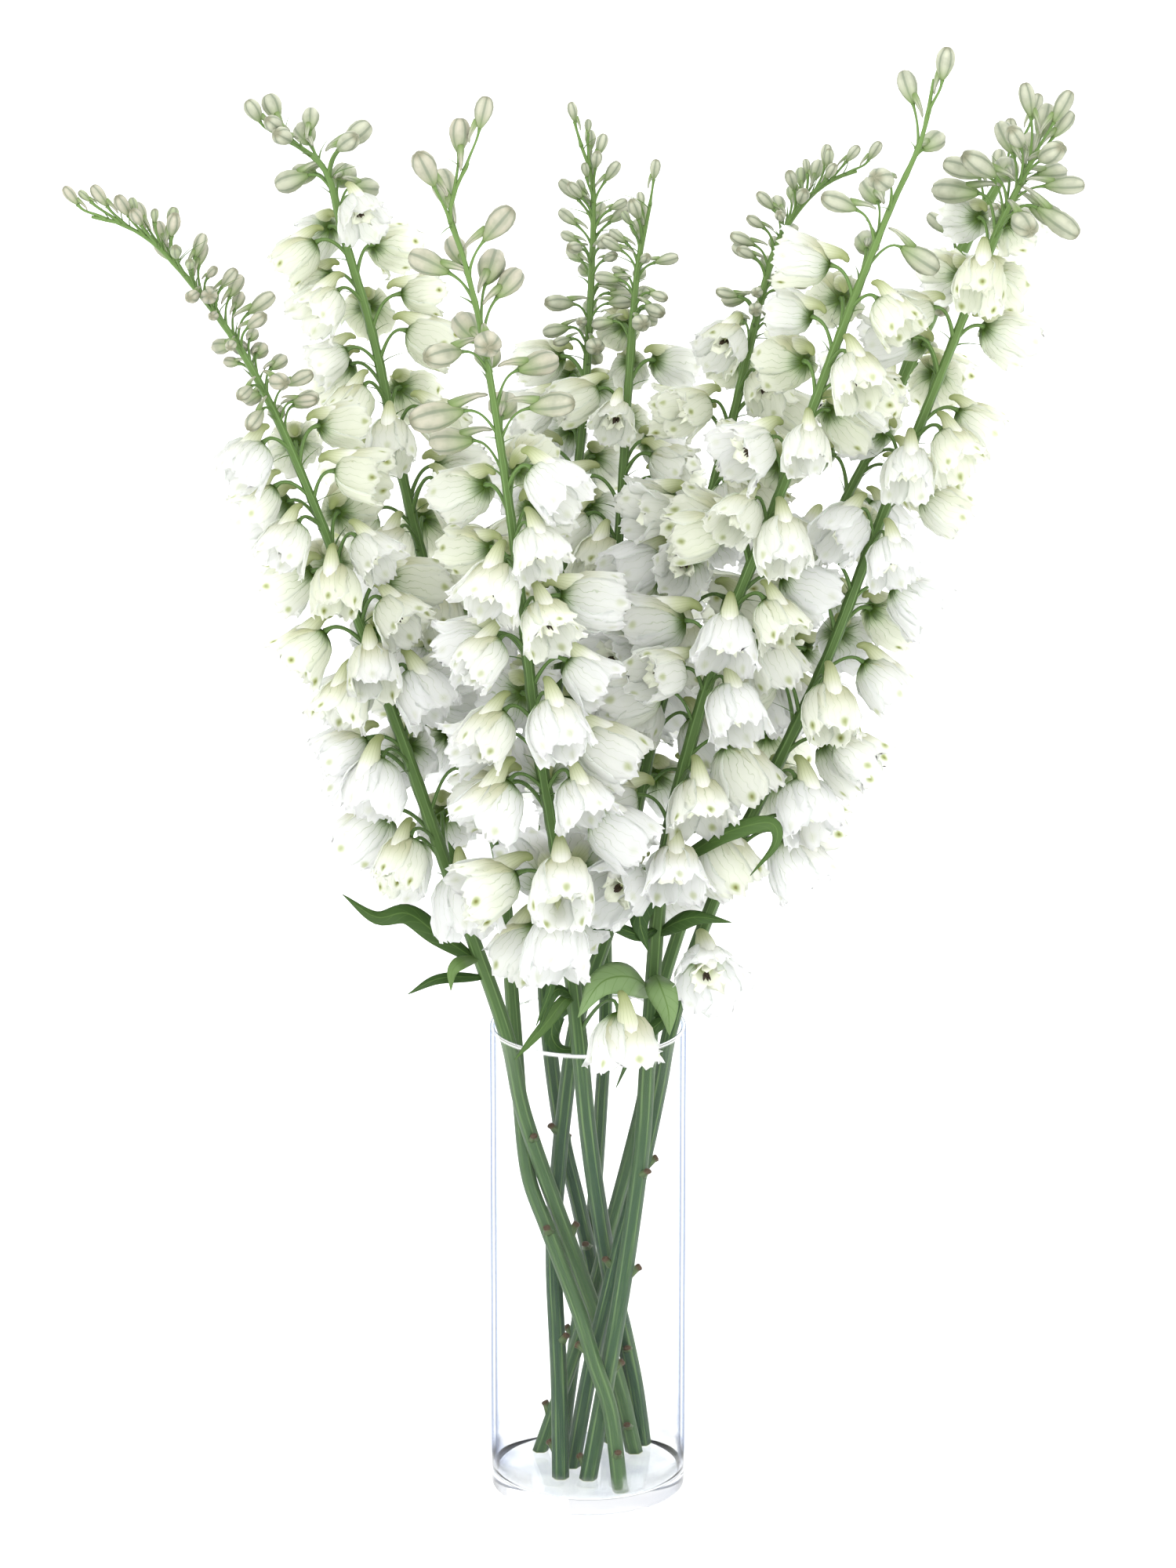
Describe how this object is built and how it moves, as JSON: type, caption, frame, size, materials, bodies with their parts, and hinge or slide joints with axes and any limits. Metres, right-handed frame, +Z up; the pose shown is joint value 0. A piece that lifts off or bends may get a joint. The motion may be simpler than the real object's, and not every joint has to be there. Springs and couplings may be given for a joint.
{
  "type": "delphinium flower spikes in a glass vase",
  "caption": "White delphinium flower spikes with nodding florets and tapering buds, leaning out of a tall clear glass cylinder vase.",
  "frame": {"origin": "centre of the flat face that the vase stands on", "axes": "+Z up through the vase; the picture looks along +Y with +X to its right"},
  "size_m": [0.5881, 0.3696, 0.9137],
  "materials": {
    "vase_glass": "gloss",
    "petal_white": "matte",
    "stem_green": "satin"
  },
  "bodies": {
    "root": {"vase": "vase_glass", "spike_a": "petal_white", "spike_b": "petal_white", "spike_c": "petal_white", "spike_d": "petal_white", "spike_e": "petal_white", "spike_f": "petal_white", "spike_g": "petal_white", "spike_h": "petal_white", "spike_i": "petal_white"}
  },
  "joints": []
}
